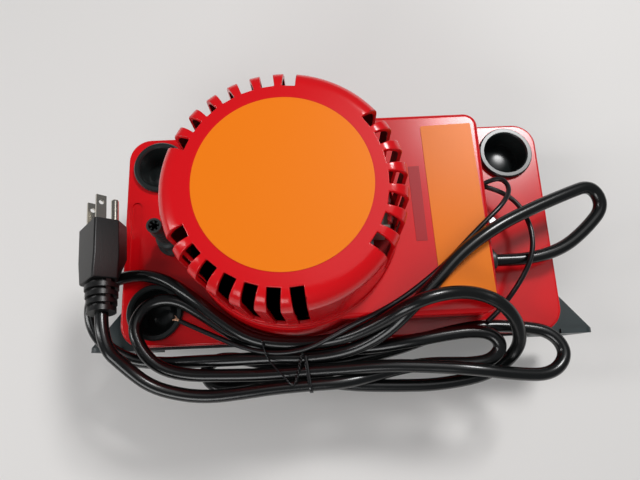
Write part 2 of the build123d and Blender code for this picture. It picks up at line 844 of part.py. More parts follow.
with BuildPart() as impeller:
    impeller_disc_bottom = volute_bottom + volute_cover_height + 1.2 + impeller_vane_height
    with BuildSketch(Plane.XY.offset(impeller_disc_bottom)):
        with Locations((motor_x, motor_y)):
            Circle(impeller_r)
    extrude(amount=impeller_disc)
    with BuildSketch(Plane.XY.offset(impeller_disc_bottom - impeller_vane_height)):
        with Locations((motor_x, motor_y)):
            Circle(shaft_r + 2.5)
        with Locations(motor_axis):
            with PolarLocations((shaft_r + impeller_r + 1.5) / 2, impeller_vanes):
                Rectangle(impeller_r - shaft_r - 1.5, impeller_vane_thickness)
    extrude(amount=impeller_vane_height)
    with BuildSketch(Plane.XY.offset(impeller_disc_bottom - impeller_vane_height)):
        with Locations((motor_x, motor_y)):
            Circle(shaft_r)
    extrude(amount=impeller_vane_height + impeller_disc, mode=Mode.SUBTRACT)
impeller.part.label = "impeller"
export_step(impeller.part, "parts/impeller.step")

# the discharge tube runs from the volute's outlet to the socket under the valve
tube_start = motor_x - outlet_reach
with BuildPart() as discharge_tube:
    with BuildLine() as tube_path:
        FilletPolyline(
            (tube_start, motor_y + outlet_offset, outlet_height),
            (valve_x + 20, motor_y + outlet_offset, outlet_height),
            (valve_x, valve_y, outlet_height + 4),
            (valve_x, valve_y, lid_underside - socket_depth),
            radius=9.0,
        )
    with BuildSketch(Plane(origin=tube_path.line @ 0, z_dir=tube_path.line % 0)):
        Circle(outlet_r)
        Circle(outlet_bore_r, mode=Mode.SUBTRACT)
    sweep()
discharge_tube.part.label = "discharge_tube"
export_step(discharge_tube.part, "parts/discharge_tube.step")

# ================================================================ check valve
valve_floor = lid_top - valve_stem_depth
valve_shoulder = lid_top + valve_flange_height + valve_body_height
barb_start = valve_shoulder + 3.2
nose_start = barb_start + barb_count * barb_pitch
valve_mouth = nose_start + nose_length

with BuildPart() as check_valve:
    with BuildSketch(Plane.XZ):
        with BuildLine():
            barbs = []
            for barb in range(barb_count):
                barbs.append((barb_tip_r, barb_start + barb * barb_pitch + 0.8))
                barbs.append((barb_root_r, barb_start + (barb + 1) * barb_pitch))
            Polyline(
                (valve_seat_r, valve_floor),
                (valve_stem_r, valve_floor),
                (valve_stem_r, lid_top),
                (valve_flange_r, lid_top),
                (valve_flange_r, lid_top + valve_flange_height),
                (valve_body_r, lid_top + valve_flange_height),
                (valve_body_r, valve_shoulder - 2),
                (valve_body_r - 2, valve_shoulder),
                (barb_root_r + 1.0, valve_shoulder),
                (barb_root_r, barb_start),
                *barbs,
                (nose_r, nose_start),
                (nose_r, valve_mouth),
                (nose_bore_r, valve_mouth),
                (nose_bore_r, valve_shoulder - 3),
                (valve_bore_r, valve_shoulder - 5),
                (valve_bore_r, valve_floor + 5),
                (valve_seat_r, valve_floor + 3),
                close=True,
            )
        make_face()
    revolve(axis=Axis.Z)
    # two wings turn the valve a quarter turn out of its socket
    with BuildSketch(Plane.XY.offset(lid_top + valve_flange_height)):
        Rectangle(2 * valve_wing_reach, valve_wing_width)
        Circle(valve_bore_r + 1, mode=Mode.SUBTRACT)
    extrude(amount=valve_wing_height)
    # guide ribs across the nose
    with BuildSketch(Plane.XY.offset(valve_mouth - 4)):
        for turn in (0, 60, 120):
            Rectangle(2 * nose_bore_r, nose_rib, rotation=turn)
    extrude(amount=3)
valve_place = Location((valve_x, valve_y, 0), (0, 0, -80))
placed = check_valve.part.moved(valve_place)
placed.label = "check_valve"
export_step(placed, "parts/check_valve.step")

with BuildPart() as valve_ball:
    with Locations((valve_x, valve_y, valve_floor + 3 + sqrt(ball_r**2 - valve_seat_r**2) + 0.25)):
        Sphere(ball_r)
valve_ball.part.label = "valve_ball"
export_step(valve_ball.part, "parts/valve_ball.step")

# ================================================================ float
with BuildPart() as float_block:
    with BuildSketch(Plane.XY.offset(float_bottom)):
        with Locations((float_x, float_y)):
            RectangleRounded(float_length, float_width, 9)
    extrude(amount=float_height)
    fillet(float_block.faces().sort_by(Axis.Z)[0].edges(), float_round)
    fillet(float_block.faces().sort_by(Axis.Z)[-1].edges(), float_round)
    with BuildSketch(Plane.XY.offset(float_bottom + float_height - 12)):
        with Locations((float_x, float_y)):
            Circle(rod_r)
    extrude(amount=12, mode=Mode.SUBTRACT)
float_block.part.label = "float_block"
export_step(float_block.part, "parts/float_block.step")

with BuildPart() as float_rod:
    with BuildSketch(Plane.XY.offset(float_bottom + float_height - 12)):
        with Locations((float_x, float_y)):
            Circle(rod_r)
    extrude(amount=rod_top - float_bottom - float_height + 12)
    # the lever's fork rides between two collars, and the lower one rests on the guide
    for height in (float_rest, float_rest + collar_height + collar_gap):
        with BuildSketch(Plane.XY.offset(height)):
            with Locations((float_x, float_y)):
                Circle(collar_r)
        extrude(amount=collar_height)
float_rod.part.label = "float_rod"
export_step(float_rod.part, "parts/float_rod.step")

# ================================================================ float switches
# the lever is level at half travel, so at rest its long arm hangs by lever_drop
lever_axis = Location((lever_pivot_x, float_y, lever_pivot_height), (0, lever_drop, 0))
with BuildPart() as switch_lever:
    with BuildSketch(Plane.XZ):
        with Locations((lever_arm / 2 - 3, 0)):
            Rectangle(lever_arm - 6, lever_thickness)
        Circle(lever_hub_r)
    extrude(amount=lever_width / 2, both=True)
    # the fork straddles the float rod
    with BuildSketch(Plane.XY):
        with Locations((lever_arm, 0)):
            RectangleRounded(12, 2 * collar_r + 2, 1.5)
            SlotOverall(9, 2 * rod_r + 1.2, mode=Mode.SUBTRACT)
    extrude(amount=lever_fork_thickness / 2, both=True)
    with BuildSketch(Plane.XY):
        with Locations((lever_arm, 0)):
            SlotOverall(9, 2 * rod_r + 1.2)
    extrude(amount=lever_thickness, both=True, mode=Mode.SUBTRACT)
    # the toe presses both plungers
    with BuildSketch(Plane.XZ):
        with Locations((-lever_toe / 2, 0)):
            Rectangle(lever_toe, lever_thickness)
    extrude(amount=lever_toe_width / 2, both=True)
    with BuildSketch(Plane.XZ):
        Circle(pin_r + running_clearance)
    extrude(amount=lever_toe_width, both=True, mode=Mode.SUBTRACT)
placed = switch_lever.part.moved(lever_axis)
placed.label = "switch_lever"
export_step(placed, "parts/switch_lever.step")

cheek_middle = (switch_bracket_gap + switch_bracket_plate) / 2
cheek_top = lever_pivot_height + lever_hub_r + 1
with BuildPart() as switch_bracket:
    with BuildSketch(Plane.XY.offset(lid_top)):
        with Locations((lever_pivot_x - 3, float_y)):
            Rectangle(switch_bracket_length, switch_bracket_gap + 2 * switch_bracket_plate)
    extrude(amount=switch_bracket_plate)
    for side in (-1, 1):
        with BuildSketch(Plane.XZ.offset(-float_y - side * cheek_middle)):
            with BuildLine():
                left = lever_pivot_x - 3 - switch_bracket_length / 2
                Polyline(
                    (left, lid_top),
                    (left + switch_bracket_length, lid_top),
                    (left + switch_bracket_length, lid_top + 4),
                    (lever_pivot_x + 4, cheek_top),
                    (lever_pivot_x - 4, cheek_top),
                    (left, lid_top + 12),
                    close=True,
                )
            make_face()
            with Locations((lever_pivot_x, lever_pivot_height)):
                Circle(pin_r, mode=Mode.SUBTRACT)
        extrude(amount=switch_bracket_plate / 2, both=True)
switch_bracket.part.label = "switch_bracket"
export_step(switch_bracket.part, "parts/switch_bracket.step")

with BuildPart() as lever_pin:
    with BuildSketch(Plane.XZ.offset(-float_y)):
        with Locations((lever_pivot_x, lever_pivot_height)):
            Circle(pin_r)
    extrude(amount=switch_bracket_gap / 2 + switch_bracket_plate + 1, both=True)
lever_pin.part.label = "lever_pin"
export_step(lever_pin.part, "parts/lever_pin.step")

plunger_x = lever_pivot_x - plunger_offset
switch_top = lid_top + switch_bracket_plate + switch_height
toe_drop = radians(lever_drop) * plunger_offset
plunger_top = lever_pivot_height - lever_thickness / 2 + toe_drop - 0.4
plunger_travel = float_travel * 1000 * plunger_offset / lever_arm
for name, side in (("run", -1), ("alarm", 1)):
    middle = (plunger_x - 1, float_y + side * (switch_width / 2 + 0.2))
    with BuildPart() as switch_case:
        with BuildSketch(Plane.XY.offset(switch_top - switch_height)):
            with Locations(middle):
                Rectangle(switch_length, switch_width)
        extrude(amount=switch_height)
        with BuildSketch(Plane.XY.offset(switch_top)):
            with Locations((plunger_x, middle[1])):
                Circle(plunger_r + 0.1)
        extrude(amount=-plunger_travel - 3, mode=Mode.SUBTRACT)
    switch_case.part.label = f"{name}_switch"
    export_step(switch_case.part, f"parts/{name}_switch.step")

    with BuildPart() as plunger:
        with BuildSketch(Plane.XY.offset(switch_top - 1.5)):
            with Locations((plunger_x, middle[1])):
                Circle(plunger_r)
        extrude(amount=plunger_top - switch_top + 1.5)
    plunger.part.label = f"{name}_plunger"
    export_step(plunger.part, f"parts/{name}_plunger.step")

with BuildPart() as terminal_block:
    with BuildSketch(Plane.XY.offset(lid_top)):
        with Locations((terminal_x, terminal_y)):
            Rectangle(terminal_length, terminal_width)
    extrude(amount=terminal_height)
    with BuildSketch(Plane.XY.offset(lid_top + terminal_height)):
        with Locations((terminal_x, terminal_y)):
            with GridLocations(terminal_length / 3, 1, 3, 1):
                Circle(2)
    extrude(amount=-4, mode=Mode.SUBTRACT)
terminal_block.part.label = "terminal_block"
export_step(terminal_block.part, "parts/terminal_block.step")

# ================================================================ cord and wire bushes
with BuildPart() as strain_relief:
    with BuildSketch(Plane.YZ.offset(deck_right - housing_wall)):
        with Locations((cord_exit_y, cord_exit_height)):
            Circle(cord_bush_r)
    extrude(amount=housing_wall)
    with BuildSketch(Plane.YZ.offset(deck_right)):
        with Locations((cord_exit_y, cord_exit_height)):
            Circle(cord_bush_r + 1.6)
    extrude(amount=relief_collar)
    with BuildSketch(Plane.YZ.offset(deck_right + relief_collar)):
        with Locations((cord_exit_y, cord_exit_height)):
            Circle(cord_bush_r - 0.6)
    with BuildSketch(Plane.YZ.offset(deck_right + relief_reach)):
        with Locations((cord_exit_y, cord_exit_height)):
            Circle(cord_bush_r - 1.4)
    loft()
strain_relief.part.label = "strain_relief"
export_step(strain_relief.part, "parts/strain_relief.step")

with BuildPart() as wire_grommet:
    with BuildSketch(Plane.YZ.offset(deck_right - housing_wall)):
        with Locations((wire_exit_y, wire_exit_height)):
            Circle(wire_bush_r)
    extrude(amount=housing_wall)
    with BuildSketch(Plane.YZ.offset(deck_right)):
        with Locations((wire_exit_y, wire_exit_height)):
            Circle(wire_bush_r + 1.4)
    extrude(amount=grommet_reach)
    fillet(wire_grommet.faces().sort_by(Axis.X)[-1].edges(), 1.2)
wire_grommet.part.label = "wire_grommet"
export_step(wire_grommet.part, "parts/wire_grommet.step")


# ================================================================ mains lead, wires, plug and tie
def corner_radii(points):
    """Arc radius for each inner point: tangent length 0.45 of the shorter run beside it."""
    radii = []
    for before, here, after in zip(points, points[1:], points[2:]):
        arriving = Vector(*here) - Vector(*before)
        leaving = Vector(*after) - Vector(*here)
        half_turn = radians(arriving.get_angle(leaving)) / 2
        shorter = min(arriving.length, leaving.length)
        radii.append(0.45 * shorter / tan(half_turn))
    return radii


def round_flex(points, diameter, name):
    """A round cord swept along the points; prints its tightest arc, length and volume ratio."""
    radii = corner_radii(points)
    with BuildPart() as flex:
        with BuildLine():
            route = FilletPolyline(*points, radius=radii)
        start = Plane(origin=route @ 0, z_dir=route % 0)
        with BuildSketch(start):
            Circle(diameter / 2)
        sweep()
    section = pi * diameter ** 2 / 4
    ratio = flex.part.volume / (section * route.length)
    print(f"{name}: tightest arc {min(radii):.1f}, length {route.length:.1f}, volume ratio {ratio:.4f}")
    flex.part.label = name
    export_step(flex.part, f"parts/{name}.step")
    return route


lead_over_deck = [
    (deck_right + relief_reach, cord_exit_y, cord_exit_height),
    (119.0, cord_exit_y, cord_exit_height),
    (139.0, -22.0, 91.0),
    (154.0, -10.5, 94.0),
    (165.5, 2.5, 97.0),
    (158.0, 16.0, 100.5),
    (140.0, 9.5, 103.5),
    (116.0, 0.0, 106.0),
    (92.5, -11.0, 108.7),
    (71.5, -25.0, 109.0),
    (54.0, -42.5, 109.0),
    (39.0, -57.0, 107.5),
]
lead_outer_loop = [
    (25.5, -69.0, 96.5),
    (6.0, -78.0, 86.0),
    (-19.0, -81.0, 81.5),
    (-41.5, -80.0, 82.0),
    (-66.0, -80.5, 80.5),
    (-91.5, -80.5, 77.0),
    (-114.0, -81.0, 74.0),
    (-135.0, -77.5, 76.5),
    (-152.5, -64.0, 80.0),
    (-158.5, -45.0, 80.0),
    (-151.5, -31.0, 79.5),
    (-130.5, -24.5, 79.5),
    (-110.0, -29.0, 82.5),
    (-89.0, -44.0, 89.0),
    (-72.5, -58.0, 87.5),
]
lead_on_deck_corner = [
    (-55.5, -69.0, 87.0),
    (-36.5, -72.5, 84.0),
    (-16.0, -72.5, 84.5),
    (4.5, -70.0, 91.0),
    (23.0, -63.0, 104.0),
    (38.5, -54.5, 118.0),
    (57.5, -49.5, 117.5),
    (76.5, -49.0, 110.0),
    (91.5, -55.5, 109.0),
    (103.0, -67.5, 99.0),
    (106.5, -81.5, 85.0),
]
lead_hidden_left_loop = [
    (91.5, -95.5, 72.5),
    (59.5, -100.5, 72.5),
    (31.5, -100.0, 72.0),
    (4.0, -98.5, 72.0),
    (-20.5, -94.0, 73.0),
    (-50.5, -94.0, 72.0),
    (-66.0, -98.0, 70.5),
    (-81.0, -96.5, 70.0),
    (-87.5, -87.5, 70.0),
    (-81.0, -79.5, 70.0),
    (-65.5, -79.5, 71.0),
    (-50.5, -83.0, 72.5),
    (-31.5, -84.5, 73.5),
]
lead_front_edge_loop = [
    (-8.0, -85.5, 73.0),
    (14.0, -82.5, 72.0),
    (36.5, -77.5, 72.5),
    (53.0, -72.0, 79.5),
    (67.0, -69.0, 79.5),
    (86.0, -66.0, 79.5),
    (110.5, -67.5, 79.5),
    (129.5, -71.5, 80.0),
    (137.0, -85.0, 80.5),
    (125.0, -97.0, 83.0),
    (101.0, -95.5, 87.0),
    (77.0, -91.5, 90.5),
    (51.0, -89.0, 87.5),
    (24.5, -87.5, 86.0),
    (-2.0, -88.5, 83.0),
]
lead_bung_loop = [
    (-26.5, -89.0, 82.0),
    (-49.5, -90.0, 82.0),
    (-73.5, -89.5, 82.0),
    (-95.5, -88.5, 83.0),
    (-111.5, -83.5, 84.5),
    (-122.5, -72.5, 85.5),
    (-128.5, -57.5, 84.0),
    (-120.5, -44.0, 83.0),
    (-103.5, -41.5, 83.0),
    (-86.5, -52.0, 80.0),
    (-70.5, -63.5, 79.5),
    (-55.5, -71.5, 79.5),
    (-40.0, -75.8, 75.0),
]
lead_right_turn = [
    (-25.0, -76.0, 74.0),
    (-7.5, -77.0, 74.0),
    (16.5, -77.0, 80.0),
    (40.5, -74.0, 87.5),
    (62.0, -71.0, 87.5),
    (77.0, -69.5, 87.5),
    (90.0, -71.0, 87.5),
    (96.0, -79.0, 86.5),
    (89.5, -87.0, 84.0),
    (77.5, -88.5, 82.0),
    (68.0, -88.0, 80.5),
    (51.5, -87.5, 77.5),
]
lead_to_plug = [
    (35.0, -89.5, 76.5),
    (19.0, -93.0, 77.0),
    (0.5, -96.5, 81.5),
    (-20.5, -97.0, 82.0),
    (-41.5, -98.0, 83.0),
    (-60.5, -100.0, 84.0),
    (-80.0, -101.5, 85.0),
    (-97.0, -99.5, 87.0),
    (-114.0, -94.0, 90.0),
    (-127.0, -83.0, 94.5),
    (-138.3, -69.8, 104.4),
    (-140.6, -51.35, 101.35),
]
long_wire_route = [
    (deck_right + grommet_reach + wire_gap, wire_exit_y, wire_exit_height + wire_split),
    (105.5, 27.5, 92.0),
    (110.0, 17.0, 97.0),
    (101.5, 5.0, 103.5),
    (90.5, -4.5, 104.0),
    (79.0, -15.0, 103.0),
    (65.0, -28.5, 103.0),
    (51.0, -39.5, 103.0),
    (36.5, -49.5, 103.5),
    (22.5, -57.0, 104.0),
    (8.5, -62.5, 100.0),
    (-5.0, -69.0, 94.5),
    (-19.0, -75.5, 90.3),
    (-33.5, -78.0, 87.5),
    (-48.5, -77.0, 86.0),
    (-63.5, -72.5, 84.5),
    (-78.0, -66.0, 82.5),
    (-90.0, -60.5, 81.5),
    (-100.5, -55.5, 81.0),
]
short_wire_route = [
    (deck_right + grommet_reach + wire_gap, wire_exit_y, wire_exit_height - wire_split),
    (105.5, 19.0, 88.0),
    (115.0, 9.5, 91.0),
    (119.5, -4.0, 94.0),
    (119.5, -18.0, 96.0),
    (116.0, -30.0, 96.0),
    (110.0, -41.0, 92.0),
    (104.0, -50.0, 87.0),
    (97.0, -58.0, 84.5),
    (89.5, -64.0, 84.5),
]

lead_points = (
    lead_over_deck
    + lead_outer_loop
    + lead_on_deck_corner
    + lead_hidden_left_loop
    + lead_front_edge_loop
    + lead_bung_loop
    + lead_right_turn
    + lead_to_plug
)
round_flex(lead_points, cord_diameter, "power_cord")
long_wire = round_flex(long_wire_route, wire_diameter, "alarm_wire_a")
round_flex(short_wire_route, wire_diameter, "alarm_wire_b")

with BuildPart() as wire_end:
    with BuildSketch(Plane(origin=long_wire @ 1, z_dir=long_wire % 1)):
        Circle(copper_r)
    extrude(amount=copper_length)
wire_end.part.label = "wire_end"
export_step(wire_end.part, "parts/wire_end.step")

# The plug lies along Y with its blades towards +Y, nose down and rolled on one edge. Its local X runs
# from the blades to the ground pin and its local Z is the way the blades point.
yaw = radians(plug_yaw)
droop = radians(plug_droop)
roll = radians(plug_roll)
blade_way = Vector(-sin(yaw) * cos(droop), cos(yaw) * cos(droop), -sin(droop))
level_way = Vector(cos(yaw), sin(yaw), 0)
upper_way = level_way.cross(blade_way)
ground_way = level_way * cos(roll) - upper_way * sin(roll)
plug_frame = Plane(origin=plug_face_center, x_dir=ground_way, z_dir=blade_way)


def plug_section(depth, factor):
    """Six-sided section of the plug, this far behind its face and scaled by the factor."""
    with BuildSketch(plug_frame.offset(-depth)) as section:
        with BuildLine():
            Polyline(
                (-plug_base_offset * factor, -plug_base_half * factor),
                (plug_wide_offset * factor, -plug_wide_half * factor),
                (plug_nose_offset * factor, -plug_nose_half * factor),
                (plug_nose_offset * factor, plug_nose_half * factor),
                (plug_wide_offset * factor, plug_wide_half * factor),
                (-plug_base_offset * factor, plug_base_half * factor),
                close=True,
            )
        make_face()
        fillet(section.vertices(), plug_corner * factor)
    return section.sketch


plug_front = loft([plug_section(0, 1), plug_section(plug_parallel_length, 1)], ruled=True)
plug_taper_sections = [
    plug_section(plug_parallel_length, 1),
    plug_section(plug_body_length, plug_tail_shrink),
]
plug_taper = loft(plug_taper_sections, ruled=True)
with BuildPart() as plug_body:
    add(plug_front)
    add(plug_taper)
plug_body.part.label = "plug_body"
export_step(plug_body.part, "parts/plug_body.step")

# The strain relief is a tapered sleeve with four thick rings on it.
with BuildPart() as plug_strain_relief:
    with BuildSketch(plug_frame.offset(-plug_body_length)):
        Circle(plug_relief_r)
    with BuildSketch(plug_frame.offset(-plug_body_length - plug_relief_length)):
        Circle(plug_relief_end_r)
    loft()
    for ring in range(plug_ring_count):
        ring_start = (ring + 1) * plug_relief_length / plug_ring_count - plug_ring_width
        shrink = (plug_relief_r - plug_relief_end_r) * ring / plug_ring_count
        with BuildSketch(plug_frame.offset(-plug_body_length - ring_start)):
            Circle(plug_relief_r + plug_ring_proud - shrink)
        extrude(amount=-plug_ring_width)
plug_strain_relief.part.label = "plug_strain_relief"
export_step(plug_strain_relief.part, "parts/plug_strain_relief.step")

with BuildPart() as plug_blades:
    with BuildSketch(plug_frame):
        with Locations((-plug_blade_offset, 0)):
            with GridLocations(1, blade_pitch, 1, 2):
                Rectangle(blade_width, blade_thickness)
    extrude(amount=blade_length)
    blade_side = Plane(origin=plug_frame.origin, x_dir=plug_frame.x_dir, z_dir=plug_frame.y_dir)
    with BuildSketch(blade_side):
        with Locations((-plug_blade_offset, blade_hole_inset - blade_length)):
            Circle(blade_hole_r)
    extrude(amount=blade_pitch, both=True, mode=Mode.SUBTRACT)
plug_blades.part.label = "plug_blades"
export_step(plug_blades.part, "parts/plug_blades.step")

with BuildPart() as ground_pin:
    with BuildSketch(plug_frame):
        with Locations((plug_ground_offset, 0)):
            Circle(ground_pin_r)
    extrude(amount=ground_pin_length)
    fillet(ground_pin.faces().sort_by(Axis.Y)[-1].edges(), 1.8)
ground_pin.part.label = "ground_pin"
export_step(ground_pin.part, "parts/ground_pin.step")

# The twist tie is a flat band round all seven passes of the lead and the long wire. The band follows
# the outline of what it ties; its two ends are twisted together and lie over the lead.
tie_cord_centers = [(-72.5, 84.4), (-80.7, 81.8), (-89.0, 82.2), (-97.2, 82.2), (-94.3, 72.8)]
tie_cord_centers += [(-84.9, 73.3), (-76.2, 74.1)]
tie_wire_center = (-76.1, 89.6)


def tie_outline(growth):
    """Outline round everything in the tie, this far outside it, on the plane of the tie's middle."""
    with BuildSketch(Plane.YZ.offset(tie_x)) as outline:
        with Locations(*tie_cord_centers):
            Circle(cord_diameter / 2 + growth)
        with Locations(tie_wire_center):
            Circle(wire_diameter / 2 + growth)
        make_hull()
    return outline.sketch


tie_tail_points = [
    (tie_x, -78.5, 91.0),
    (tie_x - 1.5, -84.0, 89.0),
    (tie_x - 3.0, -90.0, 88.5),
    (tie_x - 7.5, -95.5, 88.5),
    (tie_x - 13.0, -92.5, 89.0),
    (tie_x - 21.0, -82.5, 87.5),
    (tie_x - 24.0, -76.0, 90.0),
    (tie_x - 25.0, -69.5, 92.0),
]
with BuildPart() as twist_tie:
    add(extrude(tie_outline(tie_clearance + tie_thickness), amount=tie_width / 2, both=True))
    add(extrude(tie_outline(tie_clearance), amount=tie_width / 2, both=True), mode=Mode.SUBTRACT)
    with BuildLine():
        tail = FilletPolyline(*tie_tail_points, radius=corner_radii(tie_tail_points))
    with BuildSketch(Plane(origin=tail @ 0, z_dir=tail % 0)):
        Circle(tie_tail_r)
    sweep()
twist_tie.part.label = "twist_tie"
export_step(twist_tie.part, "parts/twist_tie.step")
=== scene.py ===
import json
import math

import bmesh
import bpy
from mathutils import Matrix, Vector


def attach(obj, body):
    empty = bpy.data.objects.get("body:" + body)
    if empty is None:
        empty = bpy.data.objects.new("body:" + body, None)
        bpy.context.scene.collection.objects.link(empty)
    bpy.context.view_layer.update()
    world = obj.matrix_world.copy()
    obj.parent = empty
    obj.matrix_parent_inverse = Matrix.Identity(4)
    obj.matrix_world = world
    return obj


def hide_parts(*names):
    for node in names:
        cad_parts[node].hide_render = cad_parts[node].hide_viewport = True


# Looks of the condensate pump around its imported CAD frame. Metres, +Z up, the same axes as the frame.

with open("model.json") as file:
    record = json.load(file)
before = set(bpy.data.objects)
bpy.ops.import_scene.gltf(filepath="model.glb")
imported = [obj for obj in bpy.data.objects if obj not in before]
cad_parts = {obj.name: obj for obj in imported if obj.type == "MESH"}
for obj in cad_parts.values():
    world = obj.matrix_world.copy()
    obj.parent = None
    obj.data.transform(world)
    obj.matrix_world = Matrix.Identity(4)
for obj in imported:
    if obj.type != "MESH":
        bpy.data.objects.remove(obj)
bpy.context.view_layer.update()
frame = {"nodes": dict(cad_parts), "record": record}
scene = bpy.context.scene
scene.view_settings.view_transform = "Standard"
nodes = frame["nodes"]

# ------------------------------------------------------------------ camera
# The photograph looks almost straight down, tilted towards +Y and turned a little.
CAMERA_PLACE = (-0.01095, -0.08584, 0.39466)
CAMERA_TILT = math.radians(14.033)
CAMERA_ROLL = math.radians(-2.383)
CAMERA_LENS = 28.153
SENSOR_WIDTH = 36
CLIP_START = 0.01

right = Vector((1, 0, 0))
up = Vector((0, math.cos(CAMERA_TILT), math.sin(CAMERA_TILT)))
camera_x = right * math.cos(CAMERA_ROLL) + up * math.sin(CAMERA_ROLL)
camera_y = up * math.cos(CAMERA_ROLL) - right * math.sin(CAMERA_ROLL)
camera_z = camera_x.cross(camera_y)
camera_data = bpy.data.cameras.new("camera")
camera_data.lens = CAMERA_LENS
camera_data.sensor_width = SENSOR_WIDTH
camera_data.clip_start = CLIP_START
camera = bpy.data.objects.new("camera", camera_data)
camera_turn = Matrix((camera_x, camera_y, camera_z)).transposed().to_4x4()
camera.matrix_world = Matrix.Translation(CAMERA_PLACE) @ camera_turn
scene.collection.objects.link(camera)
scene.camera = camera

# ------------------------------------------------------------------ materials
MATERIALS = {}
GRAIN_DETAIL = 3
for imported in list(bpy.data.materials):
    bpy.data.materials.remove(imported)


def principled(name, color, roughness, **sockets):
    """A Principled material; sockets are further socket names with _ for spaces."""
    material = bpy.data.materials.new(name)
    MATERIALS[name] = material
    material.use_nodes = True
    shader = material.node_tree.nodes["Principled BSDF"]
    shader.inputs["Base Color"].default_value = (*color, 1)
    shader.inputs["Roughness"].default_value = roughness
    for socket, value in sockets.items():
        shader.inputs[socket.replace("_", " ")].default_value = value
    return material


def add_grain(material, scale, distance):
    """Fine bumps all over a material, by object coordinates."""
    tree = material.node_tree
    coordinates = tree.nodes.new("ShaderNodeTexCoord")
    noise = tree.nodes.new("ShaderNodeTexNoise")
    noise.inputs["Scale"].default_value = scale
    noise.inputs["Detail"].default_value = GRAIN_DETAIL
    bump = tree.nodes.new("ShaderNodeBump")
    bump.inputs["Distance"].default_value = distance
    tree.links.new(coordinates.outputs["Object"], noise.inputs["Vector"])
    tree.links.new(noise.outputs["Fac"], bump.inputs["Height"])
    tree.links.new(bump.outputs["Normal"], tree.nodes["Principled BSDF"].inputs["Normal"])


principled("red_plastic", (0.70, 0.004, 0.008), 0.20, Specular_IOR_Level=0.42)
# the cover's inside is the same red plastic, darkened as painted shade
cover_inside = principled("cover_inside", (0.16, 0.003, 0.004), 0.4)
tank_plastic = principled("tank_plastic", (0.022, 0.034, 0.036), 0.42)
add_grain(tank_plastic, 1500, 0.00004)
principled("orange_film", (0.93, 0.215, 0.006), 0.34, Specular_IOR_Level=0.18)
principled("white_film", (0.42, 0.004, 0.010), 0.45, Specular_IOR_Level=0.3)
principled("bung_rubber", (0.014, 0.018, 0.018), 0.27)
principled("seal_rubber", (0.012, 0.012, 0.012), 0.6)
principled("zinc_steel", (0.55, 0.56, 0.58), 0.32, Metallic=1.0)
principled("shaft_steel", (0.62, 0.62, 0.63), 0.18, Metallic=1.0)
principled("lamination_steel", (0.10, 0.105, 0.12), 0.4, Metallic=0.8)
principled("coil_wrap", (0.050, 0.038, 0.026), 0.45)
principled("pale_plastic", (0.70, 0.68, 0.60), 0.5)
principled("bearing_bronze", (0.48, 0.27, 0.10), 0.4, Metallic=1.0)
principled("pump_plastic", (0.022, 0.025, 0.028), 0.5)
principled("switch_plastic", (0.012, 0.012, 0.014), 0.45)
principled("button_plastic", (0.50, 0.02, 0.012), 0.4)
principled("black_plastic", (0.026, 0.033, 0.033), 0.38)
cord_jacket = principled("cord_jacket", (0.004, 0.0045, 0.0045), 0.24, Specular_IOR_Level=0.55)
wire_jacket = principled("wire_jacket", (0.006, 0.006, 0.007), 0.28)
copper = principled("copper", (0.80, 0.47, 0.30), 0.35, Metallic=0.7)
plug_plastic = principled("plug_plastic", (0.006, 0.006, 0.006), 0.36, Specular_IOR_Level=0.4)
add_grain(plug_plastic, 1400, 0.00006)
principled("nickel_plate", (0.60, 0.57, 0.50), 0.22, Metallic=1.0)
tie_paper = principled("tie_paper", (0.008, 0.008, 0.009), 0.22)
principled("float_plastic", (0.76, 0.74, 0.66), 0.6)

NODE_SLOTS = {entry["node"]: entry["material_slot"] for entry in frame["record"]["subparts"]}

for name, piece in nodes.items():
    piece.data.materials.clear()
    piece.data.materials.append(MATERIALS[NODE_SLOTS[name]])


def stand_in(node, name, body):
    """A copy of a CAD piece that can be finished further, and stands for it."""
    piece = bpy.data.objects.new(name, nodes[node].data.copy())
    piece.matrix_world = nodes[node].matrix_world.copy()
    scene.collection.objects.link(piece)
    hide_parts(node)
    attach(piece, body)
    return piece


# ------------------------------------------------------------------ motor cover
MOTOR_AXIS = Vector((-0.0277, 0.0, 0.0))
COVER_BOTTOM = 0.101
COVER_FOOT_BAND = 0.005
FACING = 0.3  # the least cosine that counts as facing a way
MERGE_DISTANCE = 0.00001
FLAT_ANGLE = math.radians(0.6)
COVER_EDGE_WIDTH = 0.0005
COVER_EDGE_ANGLE = math.radians(35)
EDGE_SEGMENTS = 2
EDGE_NORMAL_WEIGHT = 60


def set_painted_shade_inside(piece, material):
    """Gives the faces that look towards the motor a darker red of the same plastic, as painted shade
    inside the cover.
    """
    piece.data.materials.append(material)
    for face in piece.data.polygons:
        outward = Vector((face.center.x - MOTOR_AXIS.x, face.center.y - MOTOR_AXIS.y, 0)).normalized()
        looks_inward = face.normal.dot(outward) < -FACING
        looks_down = face.normal.z < -FACING and face.center.z > COVER_BOTTOM + COVER_FOOT_BAND
        if looks_inward or looks_down:
            face.material_index = 1


def soften_edges(piece, width, angle):
    """Small real roundings on a moulded piece's edges."""
    mesh = bmesh.new()
    mesh.from_mesh(piece.data)
    bmesh.ops.remove_doubles(mesh, verts=mesh.verts, dist=MERGE_DISTANCE)
    bmesh.ops.dissolve_limit(
        mesh, angle_limit=FLAT_ANGLE, verts=mesh.verts, edges=mesh.edges, delimit={"MATERIAL"}
    )
    mesh.to_mesh(piece.data)
    mesh.free()
    bevel = piece.modifiers.new("edges", "BEVEL")
    bevel.width = width
    bevel.segments = EDGE_SEGMENTS
    bevel.limit_method = "ANGLE"
    bevel.angle_limit = angle
    bevel.use_clamp_overlap = False
    bevel.harden_normals = False
    normals = piece.modifiers.new("normals", "WEIGHTED_NORMAL")
    normals.keep_sharp = False
    normals.weight = EDGE_NORMAL_WEIGHT
    piece.data.shade_smooth()


